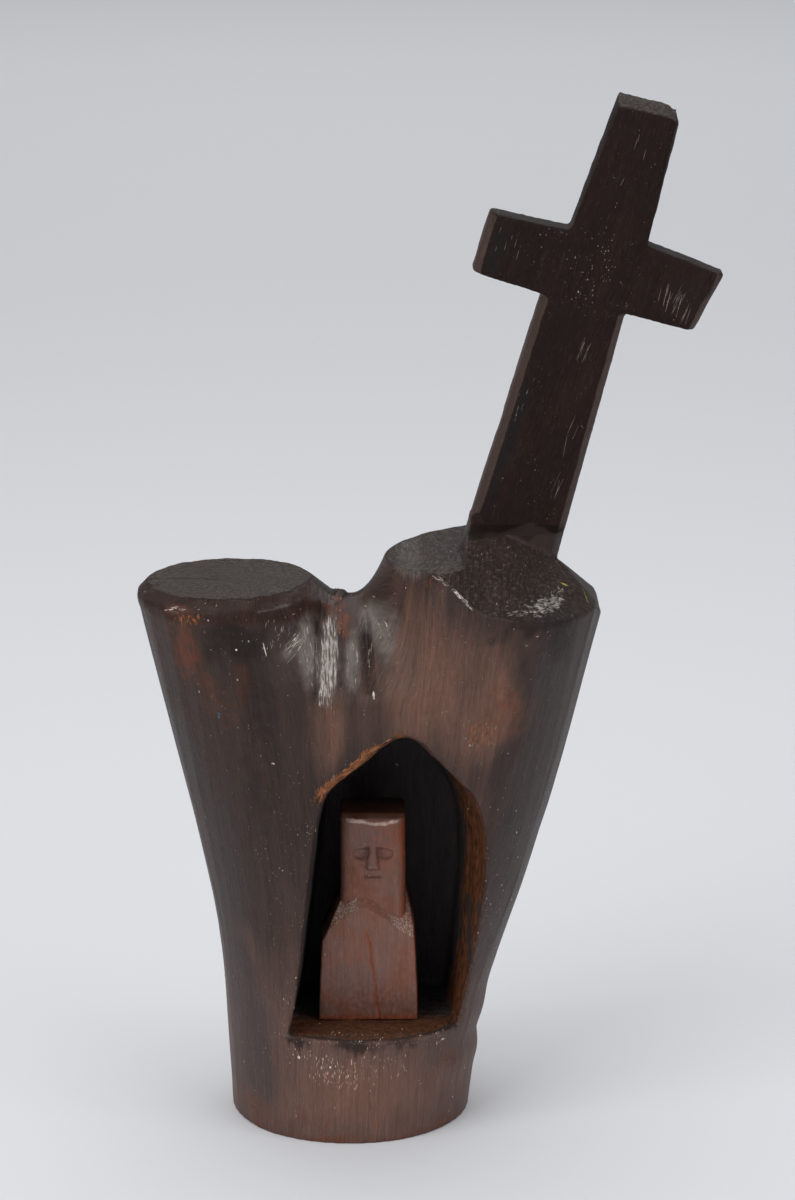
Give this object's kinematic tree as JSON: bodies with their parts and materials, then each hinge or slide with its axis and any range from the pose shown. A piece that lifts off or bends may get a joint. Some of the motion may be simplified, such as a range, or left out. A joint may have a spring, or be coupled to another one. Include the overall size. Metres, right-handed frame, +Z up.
{
  "type": "carved wooden statuette",
  "caption": "Forked log carved as a small shrine: one limb ends in a stump, the other in a leaning Latin cross, and an arched niche in the trunk holds a loose block figure.",
  "frame": {"origin": "centre of the underside of the trunk's round foot", "axes": "+Z up from the underside, -Y out of the niche towards the viewer, +X towards the limb with the cross"},
  "size_m": [0.2911, 0.121, 0.5203],
  "materials": {
    "stained_wood": "dark brown stain, hand-rubbed to a low sheen, worn lighter at the edges",
    "figure_wood": "reddish brown stain, satin, with a crack and a worn crown edge"
  },
  "bodies": {
    "root": {"forked_trunk": "stained_wood", "niche_figure": "figure_wood"}
  },
  "joints": []
}
